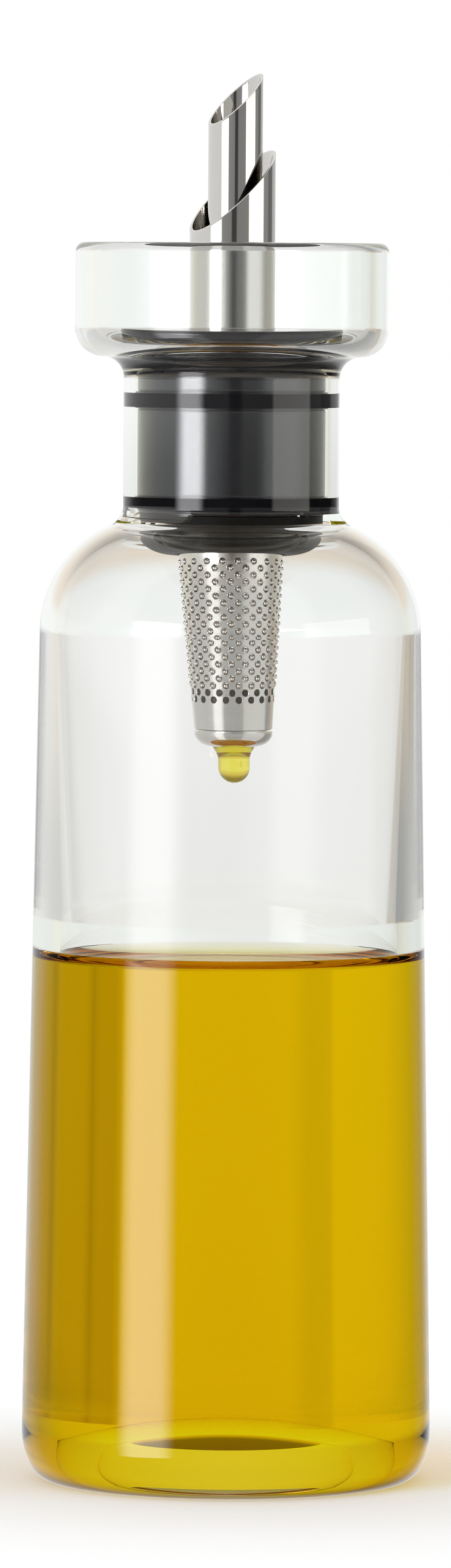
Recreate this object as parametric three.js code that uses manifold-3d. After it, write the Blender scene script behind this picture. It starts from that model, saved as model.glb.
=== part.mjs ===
// Oil and vinegar bottle: clear glass with a catch cup round its mouth, a stopper that carries two
// slant-cut pouring tubes and a perforated strainer, and the oil that it holds.
// Millimetres, +Z up. The origin is the centre of the standing face, and +X is the pouring side.
import * as THREE from "three";
import { mergeGeometries, mergeVertices } from "three/addons/utils/BufferGeometryUtils.js";
import Module from "manifold-3d";

const wasm = await Module();
wasm.setup();

// Glass bottle, outside
const BASE_DIAMETER = 75;
const BASE_CORNER = 6.5;
const PUSH_UP_DIAMETER = 44; // dome under the base, inside the standing ring
const PUSH_UP_DEPTH = 9;
const BODY_HEIGHT = 155.2; // from the standing face to where the shoulder starts to turn in
const SHOULDER_DIAMETER = 69.8;
const SHOULDER_RADIUS = 21.4;
const NECK_DIAMETER = 39.5;
const NECK_ROOT_RADIUS = 3.8;
const NECK_LENGTH = 23.4; // the straight part, between the fillets at its two ends
const CUP_FILLET = 3.9; // between the neck and the underside of the cup
const CUP_DIAMETER = 57.3;
const CUP_HEIGHT = 20.8; // from the cup's underside to its rim
const CUP_CORNER = 5.1;

// Glass bottle, inside
const BODY_WALL = 3;
const BASE_THICKNESS = 6; // the inside floor follows the push-up at this height above it
const FLOOR_CORNER = 9;
const BORE_DIAMETER = 35.4;
const BORE_ROOT_RADIUS = 6;
const BORE_EDGE = 0.8;
const CUP_WALL = 3.3;
const CUP_FLOOR_THICKNESS = 2.4;
const CUP_FLOOR_CORNER = 3;

// Stopper
const CORE_CLEARANCE = 0.5; // between the stopper's body and the bore, each side
const CORE_LENGTH = 31.5; // below the flange
const FLANGE_DIAMETER = 40.8;
const FLANGE_THICKNESS = 1.75;
const FLANGE_EDGE = 0.6;
const SOCKET_POCKET_DIAMETER = 26;
const SOCKET_POCKET_DEPTH = 12;
const TUBE_SEAT_DEPTH = 9.5; // how far the outer tube stands in the stopper
const RETURN_CHANNELS = 6;
const RETURN_CHANNEL_DIAMETER = 1.4;

// Sealing rings, placed by the drop of their upper face below the flange
const SEAL_CLEARANCE = 0.2; // between a ring and the bore, each side
const SEAL_DEPTH = 1.7; // how deep a ring sits in its groove
const UPPER_SEAL_DROP = 9.1;
const UPPER_SEAL_HEIGHT = 3;
const LOWER_SEAL_DROP = 28.3;
const LOWER_SEAL_HEIGHT = 2.2;

// Steel tubes, cut along one slant that rises towards +X
const TUBE_WALL = 0.5;
const TUBE_FIT = 0.15; // between a tube and its hole, each side
const CUT_ANGLE = 44; // degrees above level
const DRIP_TUBE_DIAMETER = 15.7;
const DRIP_TUBE_RISE = 33.4; // tip above the flange
const POUR_TUBE_DIAMETER = 10;
const POUR_TUBE_RISE = 47.3;
const POUR_TUBE_OFFSET = 0.5; // the inner tube stands this much nearer the pouring side

// Strainer and the socket that holds it
const STRAINER_WALL = 0.5;
const STRAINER_FIT = 0.15; // between the strainer's collar and its socket, each side
const STRAINER_COLLAR_DIAMETER = 19.9;
const STRAINER_COLLAR_LENGTH = 11.6; // plain straight part inside the socket
const STRAINER_TAPER_LENGTH = 40;
const STRAINER_END_DIAMETER = 14.6;
const HOLES_PER_ROW = 20;
const HOLE_ROWS = 21;
const HOLE_DIAMETER = 1.1;
const HOLE_ROW_PITCH = 1.31;
const LOWEST_ROW_HEIGHT = 5.7; // above the seam of the end cap
const SOCKET_LIP_HEIGHT = 6.2; // reaches down to just above the highest row of holes
const SOCKET_LIP_INSET = 0.4; // the lip's side stands in from the side of the stopper
const CAP_DEPTH = 2.5; // from the seam to the flat end
const CAP_CORNER = 2;
const CAP_WALL = 0.6;
const CAP_SKIRT = 3; // the part of the cap that stands inside the tube

// Contents
const OIL_DEPTH = 90; // above the lowest part of the inside floor
const DROP_DIAMETER = 5.8;
const DROP_LENGTH = 6.4;
const DROP_FLARE = 1.3; // radius of the hollow where the drop leaves the cap

const SEAT_GAP = 0.3; // between pieces that rest on each other
const ROUND_SIDES = 28; // sides of a turned piece
const SMALL_SIDES = 18; // sides of a narrow one
const CHANNEL_SIDES = 6; // sides of a drip channel
const ARC_TOLERANCE = 0.3; // how far the sides of an arc may lie inside it
const OVERRUN = 1; // how far a cutting tool runs past the face that it opens

// Heights and radii that follow from the sizes above
const baseRadius = BASE_DIAMETER / 2;
const shoulderRadius = SHOULDER_DIAMETER / 2;
const neckRadius = NECK_DIAMETER / 2;
const boreRadius = BORE_DIAMETER / 2;
const cupRadius = CUP_DIAMETER / 2;
const shoulderCentre = shoulderRadius - SHOULDER_RADIUS;
const neckRoot = rootFillet(neckRadius, NECK_ROOT_RADIUS, SHOULDER_RADIUS);
const boreRoot = rootFillet(boreRadius, BORE_ROOT_RADIUS, SHOULDER_RADIUS - BODY_WALL);
const neckTop = neckRoot.z + NECK_LENGTH;
const cupUnderside = neckTop + CUP_FILLET;
const cupFloor = cupUnderside + CUP_FLOOR_THICKNESS;
const cupRim = cupUnderside + CUP_HEIGHT;
const flangeBottom = cupFloor + SEAT_GAP;
const flangeTop = flangeBottom + FLANGE_THICKNESS;
const coreRadius = boreRadius - CORE_CLEARANCE;
const coreBottom = flangeBottom - CORE_LENGTH;
const pocketRadius = SOCKET_POCKET_DIAMETER / 2;
const pocketCeiling = coreBottom + SOCKET_POCKET_DEPTH;
const tubeSeat = flangeTop - TUBE_SEAT_DEPTH;
const sealRadius = boreRadius - SEAL_CLEARANCE;
const grooveRadius = coreRadius - SEAL_DEPTH;
const dripRadius = DRIP_TUBE_DIAMETER / 2;
const pourRadius = POUR_TUBE_DIAMETER / 2;
const cutSlope = Math.tan(THREE.MathUtils.degToRad(CUT_ANGLE));
const collarRadius = STRAINER_COLLAR_DIAMETER / 2;
const strainerEnd = STRAINER_END_DIAMETER / 2;
const strainerTop = pocketCeiling - SEAT_GAP;
const taperTop = strainerTop - STRAINER_COLLAR_LENGTH;
const seam = taperTop - STRAINER_TAPER_LENGTH;
const capBottom = seam - CAP_DEPTH;
const taperSlope = (collarRadius - strainerEnd) / STRAINER_TAPER_LENGTH;

// The fillet that leads from the shoulder's arc into an upright wall: its centre and the angle where they meet.
function rootFillet(wallRadius, filletRadius, shoulderArc) {
  const x = wallRadius + filletRadius;
  const reach = shoulderArc + filletRadius;
  const across = x - shoulderCentre;
  const up = Math.sqrt(reach * reach - across * across);
  return { x, z: BODY_HEIGHT + up, angle: THREE.MathUtils.radToDeg(Math.atan2(up, across)) };
}

function point(radius, height) {
  return new THREE.Vector2(radius, height);
}

// Points of an arc in the profile plane, turned from one angle to another in degrees.
function arc(x, z, radius, from, to) {
  const step = 2 * THREE.MathUtils.radToDeg(Math.acos(Math.max(0.5, 1 - ARC_TOLERANCE / radius)));
  const steps = Math.max(2, Math.round(Math.abs(to - from) / step));
  return Array.from({ length: steps + 1 }, (_, i) => {
    const angle = THREE.MathUtils.degToRad(from + ((to - from) * i) / steps);
    return point(x + radius * Math.cos(angle), z + radius * Math.sin(angle));
  });
}

// A profile of radius and height turned about the Z axis.
function turned(profile, sides) {
  return new THREE.LatheGeometry(profile, sides).rotateX(Math.PI / 2);
}

// A profile that closes on itself, turned about the Z axis.
function turnedRing(profile, sides) {
  return turned([...profile, profile[0]], sides);
}

// A plain tube between two heights.
function tubeGeometry(outer, inner, bottom, top, sides) {
  return turnedRing([point(inner, bottom), point(outer, bottom), point(outer, top), point(inner, top)], sides);
}

// An upright round bar between two heights, for cutting holes.
function barGeometry(radius, bottom, top, sides) {
  const bar = new THREE.CylinderGeometry(radius, radius, top - bottom, sides).rotateX(Math.PI / 2);
  return bar.translate(0, 0, (bottom + top) / 2);
}

function solidOf(geometry) {
  const bare = geometry.index ? geometry.toNonIndexed() : geometry.clone();
  bare.deleteAttribute("normal");
  bare.deleteAttribute("uv");
  const merged = mergeVertices(bare, 1e-4);
  const corners = merged.index.array;
  const kept = [];
  for (let i = 0; i < corners.length; i += 3) {
    const [a, b, c] = corners.subarray(i, i + 3);
    if (a !== b && b !== c && c !== a) kept.push(a, b, c);
  }
  return new wasm.Manifold(
    new wasm.Mesh({
      numProp: 3,
      vertProperties: merged.attributes.position.array,
      triVerts: new Uint32Array(kept),
    }),
  );
}

function geometryOf(solid) {
  const mesh = solid.getMesh();
  return new THREE.BufferGeometry()
    .setAttribute("position", new THREE.BufferAttribute(mesh.vertProperties, mesh.numProp))
    .setIndex(new THREE.BufferAttribute(mesh.triVerts, 1));
}

function cut(geometry, ...tools) {
  const solids = tools.map(solidOf);
  return geometryOf(solids.reduce((left, tool) => left.subtract(tool), solidOf(geometry)));
}

// The push-up's dome from its middle out to its foot, with the foot at a height.
function pushUp(foot) {
  const radius = PUSH_UP_DIAMETER / 2;
  const bow = (radius ** 2 + PUSH_UP_DEPTH ** 2) / (2 * PUSH_UP_DEPTH);
  const reach = THREE.MathUtils.radToDeg(Math.asin(radius / bow));
  return arc(0, foot + PUSH_UP_DEPTH - bow, bow, 90, 90 - reach);
}

// Outside and inside of the glass, from the middle of the base round the rim to the inside floor.
function bottleGeometry() {
  const rimRound = CUP_WALL / 2;
  const cupInside = cupRadius - CUP_WALL;
  const innerBase = baseRadius - BODY_WALL;
  return turned(
    [
      ...pushUp(0),
      ...arc(baseRadius - BASE_CORNER, BASE_CORNER, BASE_CORNER, -90, 0),
      ...arc(shoulderCentre, BODY_HEIGHT, SHOULDER_RADIUS, 0, neckRoot.angle),
      ...arc(neckRoot.x, neckRoot.z, NECK_ROOT_RADIUS, 180 + neckRoot.angle, 180).slice(1),
      ...arc(neckRadius + CUP_FILLET, neckTop, CUP_FILLET, 180, 90),
      ...arc(cupRadius - CUP_CORNER, cupUnderside + CUP_CORNER, CUP_CORNER, -90, 0),
      ...arc(cupRadius - rimRound, cupRim - rimRound, rimRound, 0, 90),
      ...arc(cupRadius - rimRound, cupRim - rimRound, rimRound, 90, 180).slice(1),
      ...arc(cupInside - CUP_FLOOR_CORNER, cupFloor + CUP_FLOOR_CORNER, CUP_FLOOR_CORNER, 0, -90),
      ...arc(boreRadius + BORE_EDGE, cupFloor - BORE_EDGE, BORE_EDGE, 90, 180),
      ...arc(boreRoot.x, boreRoot.z, BORE_ROOT_RADIUS, 180, 180 + boreRoot.angle),
      ...arc(shoulderCentre, BODY_HEIGHT, SHOULDER_RADIUS - BODY_WALL, boreRoot.angle, 0).slice(1),
      ...arc(innerBase - FLOOR_CORNER, BASE_THICKNESS + FLOOR_CORNER, FLOOR_CORNER, 0, -90),
      ...pushUp(BASE_THICKNESS).reverse(),
    ],
    ROUND_SIDES,
  );
}

// The stopper turned in one, then bored for the inner tube and the channels that let drips run back.
function stopperGeometry() {
  const groove = (drop, height) => [
    point(coreRadius, flangeBottom - drop - height - SEAT_GAP),
    point(grooveRadius, flangeBottom - drop - height - SEAT_GAP),
    point(grooveRadius, flangeBottom - drop + SEAT_GAP),
    point(coreRadius, flangeBottom - drop + SEAT_GAP),
  ];
  const flangeCentre = FLANGE_DIAMETER / 2 - FLANGE_EDGE;
  const body = turned(
    [
      point(0, pocketCeiling),
      point(pocketRadius, pocketCeiling),
      point(pocketRadius, coreBottom),
      point(coreRadius, coreBottom),
      ...groove(LOWER_SEAL_DROP, LOWER_SEAL_HEIGHT),
      ...groove(UPPER_SEAL_DROP, UPPER_SEAL_HEIGHT),
      point(coreRadius, flangeBottom),
      ...arc(flangeCentre, flangeBottom + FLANGE_EDGE, FLANGE_EDGE, -90, 0),
      ...arc(flangeCentre, flangeTop - FLANGE_EDGE, FLANGE_EDGE, 0, 90),
      point(dripRadius + TUBE_FIT, flangeTop),
      point(dripRadius + TUBE_FIT, tubeSeat),
      point(0, tubeSeat),
    ],
    ROUND_SIDES,
  );
  const bore = barGeometry(pourRadius + TUBE_FIT, pocketCeiling - OVERRUN, tubeSeat + OVERRUN, SMALL_SIDES);
  return cut(body, bore.translate(POUR_TUBE_OFFSET, 0, 0), returnChannels());
}

// Channels between the two tubes, in the crescent that the offset inner tube leaves on the far side from +X.
function returnChannels() {
  const innerEdge = pourRadius + TUBE_FIT - POUR_TUBE_OFFSET / 2;
  const ring = (innerEdge + dripRadius - TUBE_WALL) / 2;
  const radius = RETURN_CHANNEL_DIAMETER / 2;
  const bar = barGeometry(radius, pocketCeiling - OVERRUN, tubeSeat + OVERRUN, CHANNEL_SIDES);
  const channels = Array.from({ length: RETURN_CHANNELS }, (_, i) => {
    const angle = Math.PI / 2 + (Math.PI * (i + 0.5)) / RETURN_CHANNELS;
    return bar.clone().translate(ring * Math.cos(angle), ring * Math.sin(angle), 0);
  });
  return mergeGeometries(channels);
}

// A sealing ring with a round outer face, seated in its groove.
function sealGeometry(drop, height) {
  const top = flangeBottom - drop;
  const round = height / 2;
  return turnedRing(
    [
      point(grooveRadius + SEAT_GAP, top - height),
      ...arc(sealRadius - round, top - round, round, -90, 0),
      ...arc(sealRadius - round, top - round, round, 0, 90).slice(1),
      point(grooveRadius + SEAT_GAP, top),
    ],
    ROUND_SIDES,
  );
}

// A steel tube with its upper end cut along the slant, so that its highest point is at the tip height.
function slantTube(radius, bottom, tip) {
  const middle = tip - radius * cutSlope;
  const side = 4 * (tip - bottom);
  const waste = new THREE.BoxGeometry(side, side, side).translate(0, 0, side / 2);
  waste.rotateY(-THREE.MathUtils.degToRad(CUT_ANGLE)).translate(0, 0, middle);
  return cut(tubeGeometry(radius, radius - TUBE_WALL, bottom, tip + OVERRUN, SMALL_SIDES), waste);
}

// The black ring in the stopper's pocket, with a deep lip that covers the stopper's lower end.
function socketGeometry() {
  const inside = collarRadius + STRAINER_FIT;
  const lip = coreRadius - SOCKET_LIP_INSET;
  const lipTop = coreBottom - SEAT_GAP;
  return turnedRing(
    [
      point(inside, lipTop - SOCKET_LIP_HEIGHT),
      point(lip, lipTop - SOCKET_LIP_HEIGHT),
      point(lip, lipTop),
      point(pocketRadius - SEAT_GAP, lipTop),
      point(pocketRadius - SEAT_GAP, pocketCeiling - SEAT_GAP),
      point(inside, pocketCeiling - SEAT_GAP),
    ],
    ROUND_SIDES,
  );
}

// Radius of the strainer's outside on its tapered part.
function strainerRadius(height) {
  return strainerEnd + taperSlope * (height - seam);
}

// The tapered tube, with staggered rows of holes that each lie in the middle of one of its sides.
function strainerGeometry() {
  const sides = 2 * HOLES_PER_ROW;
  const tube = turnedRing(
    [
      point(strainerEnd - STRAINER_WALL, seam),
      point(strainerEnd, seam),
      point(collarRadius, taperTop),
      point(collarRadius, strainerTop),
      point(collarRadius - STRAINER_WALL, strainerTop),
      point(collarRadius - STRAINER_WALL, taperTop),
    ],
    sides,
  );
  const holes = [];
  for (let row = 0; row < HOLE_ROWS; row++) {
    const height = seam + LOWEST_ROW_HEIGHT + row * HOLE_ROW_PITCH;
    for (let i = 0; i < HOLES_PER_ROW; i++) {
      const angle = ((2 * i + (row % 2) + 0.5) * 2 * Math.PI) / sides;
      holes.push(holeGeometry(strainerRadius(height), height, angle));
    }
  }
  return cut(tube, mergeGeometries(holes));
}

// A square bar through the strainer's wall at one hole, with the open area of the round hole and two sides upright.
function holeGeometry(radius, height, angle) {
  const corner = (HOLE_DIAMETER / 2) * Math.sqrt(Math.PI / 2);
  const bar = new THREE.CylinderGeometry(corner, corner, 6 * STRAINER_WALL, 4).rotateY(Math.PI / 4);
  return bar.rotateZ(-Math.PI / 2).translate(radius - STRAINER_WALL / 2, 0, height).rotateZ(angle);
}

// The pressed cap: a skirt inside the tube, a seam flush with its outside, and a flat end with a round corner.
function capGeometry() {
  const skirt = strainerEnd - STRAINER_WALL - SEAT_GAP;
  const seamBottom = seam - SEAT_GAP;
  return turned(
    [
      point(0, capBottom),
      ...arc(strainerEnd - CAP_CORNER, capBottom + CAP_CORNER, CAP_CORNER, -90, 0),
      point(strainerEnd, seamBottom),
      point(skirt, seamBottom),
      point(skirt, seam + CAP_SKIRT),
      point(skirt - CAP_WALL, seam + CAP_SKIRT),
      point(skirt - CAP_WALL, capBottom + CAP_WALL),
      point(0, capBottom + CAP_WALL),
    ],
    SMALL_SIDES,
  );
}

// The oil, clear of the glass all round.
function oilGeometry() {
  const floor = BASE_THICKNESS + SEAT_GAP;
  const surface = BASE_THICKNESS + OIL_DEPTH;
  const taper = (baseRadius - shoulderRadius) / (BODY_HEIGHT - BASE_CORNER);
  const foot = baseRadius - BODY_WALL - SEAT_GAP;
  const corner = FLOOR_CORNER;
  return turned(
    [
      ...pushUp(floor),
      ...arc(foot - taper * FLOOR_CORNER - corner, floor + corner, corner, -90, 0),
      point(foot - taper * surface, surface),
      point(0, surface),
    ],
    ROUND_SIDES,
  );
}

// The drop under the cap: a flared top, a straight neck and a round end.
function dropGeometry() {
  const top = capBottom - SEAT_GAP;
  const radius = DROP_DIAMETER / 2;
  return turned(
    [
      ...arc(0, top - DROP_LENGTH + radius, radius, -90, 0),
      ...arc(radius + DROP_FLARE, top - DROP_FLARE, DROP_FLARE, 180, 90),
      point(0, top),
    ],
    SMALL_SIDES,
  );
}

function steel(color, roughness) {
  return new THREE.MeshStandardMaterial({ color, roughness, metalness: 1 });
}

function plastic(color, roughness) {
  return new THREE.MeshStandardMaterial({ color, roughness, metalness: 0 });
}

function clear(color, opacity) {
  return new THREE.MeshStandardMaterial({ color, opacity, roughness: 0.05, metalness: 0, transparent: true });
}

function piece(name, geometry, material) {
  const mesh = new THREE.Mesh(geometry, material);
  mesh.name = name;
  return mesh;
}

const bottle = new THREE.Group();
bottle.add(piece("bottle", bottleGeometry(), clear("#eef2ee", 0.3)));
bottle.add(piece("oil_fill", oilGeometry(), clear("#d6b400", 0.85)));

const strainer = new THREE.Group();
strainer.add(piece("strainer_tube", strainerGeometry(), steel("#b9bab6", 0.25)));
strainer.add(piece("strainer_end_cap", capGeometry(), steel("#b9bab6", 0.25)));
strainer.add(piece("oil_drop", dropGeometry(), clear("#e0b82a", 0.85)));

const pourTube = slantTube(pourRadius, pocketCeiling, flangeTop + POUR_TUBE_RISE);
const dripTube = slantTube(dripRadius, tubeSeat + SEAT_GAP, flangeTop + DRIP_TUBE_RISE);
const upperSeal = sealGeometry(UPPER_SEAL_DROP, UPPER_SEAL_HEIGHT);
const lowerSeal = sealGeometry(LOWER_SEAL_DROP, LOWER_SEAL_HEIGHT);
const innerTube = piece("pour_tube", pourTube, steel("#d0d0cc", 0.12));
innerTube.position.x = POUR_TUBE_OFFSET;

const stopper = new THREE.Group();
stopper.add(piece("stopper_core", stopperGeometry(), plastic("#5e5e64", 0.45)));
stopper.add(piece("upper_seal_ring", upperSeal, plastic("#1c1b1f", 0.6)));
stopper.add(piece("lower_seal_ring", lowerSeal, plastic("#1c1b1f", 0.6)));
stopper.add(piece("strainer_socket", socketGeometry(), plastic("#1f1e21", 0.5)));
stopper.add(piece("drip_tube", dripTube, steel("#d0d0cc", 0.12)));
stopper.add(innerTube);

const oilBottle = new THREE.Group();
oilBottle.add(bottle, stopper, strainer);

export default oilBottle;
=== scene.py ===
"""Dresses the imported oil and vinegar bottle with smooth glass, oil, steel and stopper pieces.

Sizes are in millimetres and become metres where a mesh, lamp or camera is made.
"""

import math

import bpy
from mathutils import Matrix, Vector


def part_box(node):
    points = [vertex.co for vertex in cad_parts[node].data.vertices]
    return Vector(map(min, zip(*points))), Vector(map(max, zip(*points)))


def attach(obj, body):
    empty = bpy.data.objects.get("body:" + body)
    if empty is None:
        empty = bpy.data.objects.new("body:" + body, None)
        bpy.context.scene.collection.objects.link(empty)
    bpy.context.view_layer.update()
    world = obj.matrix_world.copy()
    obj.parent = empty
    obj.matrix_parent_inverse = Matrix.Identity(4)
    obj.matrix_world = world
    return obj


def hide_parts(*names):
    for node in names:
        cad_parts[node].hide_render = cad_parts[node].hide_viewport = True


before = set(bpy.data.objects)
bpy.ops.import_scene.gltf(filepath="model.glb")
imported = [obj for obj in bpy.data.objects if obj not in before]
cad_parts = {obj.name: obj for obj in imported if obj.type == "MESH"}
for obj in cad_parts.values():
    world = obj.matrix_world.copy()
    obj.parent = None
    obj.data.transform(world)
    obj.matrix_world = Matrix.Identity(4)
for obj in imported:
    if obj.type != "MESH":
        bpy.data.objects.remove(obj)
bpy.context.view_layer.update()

MM = 0.001

# Glass bottle
BASE_CORNER_WIDTH = 5
BASE_CORNER_HEIGHT = 9
PUSH_UP_DIAMETER = 50
PUSH_UP_DEPTH = 9
BODY_HEIGHT = 155.2
SHOULDER_DIAMETER = 69.8
SHOULDER_RADIUS = 21.4
NECK_DIAMETER = 39.5
NECK_ROOT_RADIUS = 3.8
NECK_LENGTH = 23.4
CUP_FILLET = 3.9
CUP_DIAMETER = 57.3
CUP_CORNER = 5.1
BODY_WALL = 2.7
MIDDLE_WALL = 5.1  # thicker than at the shoulder and the foot
MIDDLE_HEIGHT = 103
FOOT_WALL = 3.2
BASE_THICKNESS = 3.2
FLOOR_CORNER = 5
BORE_DIAMETER = 35.4
BORE_ROOT_RADIUS = 6
INNER_SHOULDER_RADIUS = 18.7
BORE_EDGE = 0.8
CUP_WALL = 3.3
CUP_FLOOR_THICKNESS = 2.4
CUP_FLOOR_CORNER = 3

# Indices of refraction
GLASS_INDEX = 1.5
OIL_INDEX = 1.47
WETTED_INDEX = 1.004  # glass against oil
PLASTIC_INDEX = 1.5
WET_FROM = 0.45  # a "wetted" mark passes from air to oil between these two
WET_TO = 0.55

# Oil in the bottle
OIL_LEVEL = 94.8
MENISCUS_RISE = 2.4
MENISCUS_REACH = 2.4  # the climb at the wall falls to a third over this distance
MENISCUS_STEP = 0.15
MENISCUS_STEPS = 60
WETTING = 0.4  # how far the oil's mesh reaches into the glass, so that no air shows between them
SURFACE_RISE = 0.02  # a face of the oil whose normal rises less than this lies on the glass

# Oil that has run between the stopper and the neck
UPPER_FILM_EDGE = 204.3  # height of its lower edge
# Where it runs further down: degrees from the camera's side, length, width in degrees
FILM_RUNS = ((-44, 1.4, 5), (5.5, 1.1, 5))
LOWER_FILM_EDGE = 175.3
# Bubbles of air in the lower film: two angles that each lies between, its height, and half its own height
FILM_BUBBLES = ((-27, -75, 176.9, 1.25), (43.2, 44, 177.1, 0.4))
FILM_STEP = 0.4  # spacing of the rings that carry a film's edge
INSIDE_LEAN = 0.3  # a point of the glass is on the inside if its normal leans in or up by more than this

# Stopper
STOPPER_EDGE = 0.35
STOPPER_GAP = 0.5  # between the stopper's side and the bore
FLANGE_EDGE = 0.6
FLANGE_THICKNESS = 1.75
GROOVE_DEPTH = 1.7
GROOVE_GAP = 0.1  # above and below a sealing ring
SEAL_PRESS = 0.05  # how far a sealing ring presses into the bore
SEAL_CORNER = 0.4
SEAT_GAP = 0.3  # clearance at the end of a seat
TUBE_GAP = 0.15  # clearance round a tube in its seat
POCKET_RADIUS = 13  # in the stopper, for the socket
SOCKET_RADIUS = 12.7  # of the socket in that pocket
LIP_EDGE = 0.4
LIP_GAP = 0.1  # between the socket's lip and the stopper
LIP_CORNER_WIDTH = 6
LIP_CORNER_HEIGHT = 4.2
TUBE_WALL = 0.5
TUBE_RIM = 0.08  # rounding of a tube's cut edge
CUT_ANGLE = 44

# Strainer
STRAINER_WALL = 0.5
STRAINER_EDGE = 0.15
LEAN = 0.02  # sideways for each millimetre down
STRAINER_TURN = -3.35  # degrees, to where the photographed holes stand
TAPER_LENGTH = 40
HOLES_PER_ROW = 20
HOLE_ROWS = 21
OPEN_ROWS = 2  # the lowest rows show no bead
HOLE_DIAMETER = 1.2
HOLE_EDGE = 0.09
HOLE_ROW_PITCH = 1.31
LOWEST_ROW_HEIGHT = 5.7
BEAD_DIAMETER = 0.86  # leaves a dark ring in the hole
BEAD_BULGE = 0.42
# Dark discs of painted shade in the lowest rows, for the dim inside of the tube
HOLE_SHADE_BULGE = 0.08
HOLE_SHADE_DEPTH = 0.3  # the dark disc of painted shade in the lowest rows stands back from the tube's surface
BEAD_BACK = 0.3  # depth of a bead's back, as a share of its bulge
BEAD_LEVELS = ((1, -0.15), (1, 0), (0.92, 0.36), (0.72, 0.68), (0.4, 0.92))  # shares of its width and bulge
CAP_CORNER_WIDTH = 3
CAP_CORNER_HEIGHT = 2.6
CAP_SAG = 0.6  # its round end hangs lower than the CAD cap
CAP_SEAM = 0.3
CAP_WALL = 0.6
DROP_DIAMETER = 5.8
DROP_SAG = 0.7  # it hangs lower than the CAD drop
DROP_FLARE_WIDTH = 1.1
DROP_FLARE_HEIGHT = 2.6

# Mesh fineness
ROUND_SIDES = 192
TUBE_SIDES = 128
HOLE_SIDES = 16
BEAD_SIDES = 14
FLARE_STEPS = 12
ARC_STEP = 4  # degrees, as the other steps
DOME_STEP = 1
SHOULDER_STEP = 2
DROP_STEP = 6
RIM_STEP = 10
EDGE_STEP = 15  # on small edges
FINE_EDGE_STEP = 30  # on edges that hardly show
SUPPORT = 0.25  # distance of the loops that keep a straight wall's shading straight
LONG_STRETCH = 2  # only walls longer than this have those loops
SAME_PLACE = 1e-6  # points closer than this are one
SHARP_ANGLE = 40

# Patterns in the materials: size of a spot or line, and the height of its bump
GLASS_WAVE = 18
OIL_STREAK = 30
WAVE_HEIGHT = 0.2
POLISHING_LINE = 2
LINE_STRETCH = (0.2, 0.2, 6.0)  # draws its spots out into lines round the tube
MOTTLE = 6
GRAIN_HEIGHT = 0.02
PAPER_FIBRE = 1.5

# Floor
FLOOR_REACH = 400
FLOOR_DROP = 0.2
FLOOR_FADE_START = 42  # distance from the bottle's axis
FLOOR_FADE_END = 130

# Camera, fitted to the photograph, which is 737 by 2560 pixels
CAMERA_AZIMUTH = -25
CAMERA_DISTANCE = 1790.6
CAMERA_HEIGHT = 220.4
CAMERA_PITCH = 2.97
CAMERA_ROLL = 0.33
CAMERA_SIDESTEP = -0.72
CAMERA_LENS = 225
CAMERA_SENSOR = 36
LIGHT_BOUNCES = 32  # light meets many faces on its way through the glass, the oil and the glass again


def linear(hex_colour):
    """An sRGB hex colour as linear red, green, blue and alpha."""
    channels = [int(hex_colour[i : i + 2], 16) / 255 for i in (1, 3, 5)]
    return (*[c / 12.92 if c <= 0.04045 else ((c + 0.055) / 1.055) ** 2.4 for c in channels], 1)


def grey(level):
    return (level, level, level, 1)


def add(tree, kind, inputs=None, **settings):
    """Adds one node with its settings, and sets or links its inputs."""
    made = tree.nodes.new(kind)
    for name, value in settings.items():
        setattr(made, name, value)
    for socket, value in (inputs or {}).items():
        if isinstance(value, bpy.types.NodeSocket):
            tree.links.new(value, made.inputs[socket])
        else:
            made.inputs[socket].default_value = value
    return made


def new_material(name):
    material = bpy.data.materials.new(name)
    material.use_nodes = True
    material.node_tree.nodes.clear()
    return material


def set_surface(tree, shader, volume=None):
    output = add(tree, "ShaderNodeOutputMaterial", {"Surface": shader})
    if volume is not None:
        tree.links.new(volume, output.inputs["Volume"])


def scale_for(size):
    """Scale of a noise texture on object coordinates whose spots are about this many millimetres wide."""
    return 1 / (size * MM)


# Materials


def refraction(tree, dry, wetted):
    """Index of refraction: dry where a face meets air, wetted where oil and glass lie on each other."""
    marks = add(tree, "ShaderNodeAttribute", attribute_name="wetted")
    index = add(
        tree,
        "ShaderNodeMapRange",
        {
            "Value": marks.outputs["Fac"],
            "From Min": WET_FROM,
            "From Max": WET_TO,
            "To Min": dry,
            "To Max": wetted,
        },
    )
    return index.outputs["Result"]


def lit_through(tree, shader):
    """The shader, which lets the lamps' light pass straight through to what is inside and behind."""
    path = add(tree, "ShaderNodeLightPath")
    clear = add(tree, "ShaderNodeBsdfTransparent", {"Color": grey(1)})
    mixed = add(
        tree,
        "ShaderNodeMixShader",
        {0: path.outputs["Is Shadow Ray"], 1: shader, 2: clear.outputs["BSDF"]},
    )
    return mixed.outputs["Shader"]


def clear_material(name, ripple, strength, dry, wetted, tint, density):
    """A smooth clear body that colours the light by the length of its way through, with slow ripples."""
    material = new_material(name)
    tree = material.node_tree
    place = add(tree, "ShaderNodeTexCoord").outputs["Object"]
    ripples = add(tree, "ShaderNodeTexNoise", {"Vector": place, "Scale": scale_for(ripple), "Detail": 1.0})
    bump = add(
        tree,
        "ShaderNodeBump",
        {"Height": ripples.outputs["Fac"], "Strength": strength, "Distance": WAVE_HEIGHT * MM},
    )
    shader = add(
        tree,
        "ShaderNodeBsdfPrincipled",
        {
            "Base Color": grey(1),
            "Roughness": 0.0,
            "IOR": refraction(tree, dry, wetted),
            "Transmission Weight": 1.0,
            "Normal": bump.outputs["Normal"],
        },
    )
    body = add(tree, "ShaderNodeVolumeAbsorption", {"Color": linear(tint), "Density": density})
    set_surface(tree, lit_through(tree, shader.outputs["BSDF"]), body.outputs["Volume"])
    return material


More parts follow.
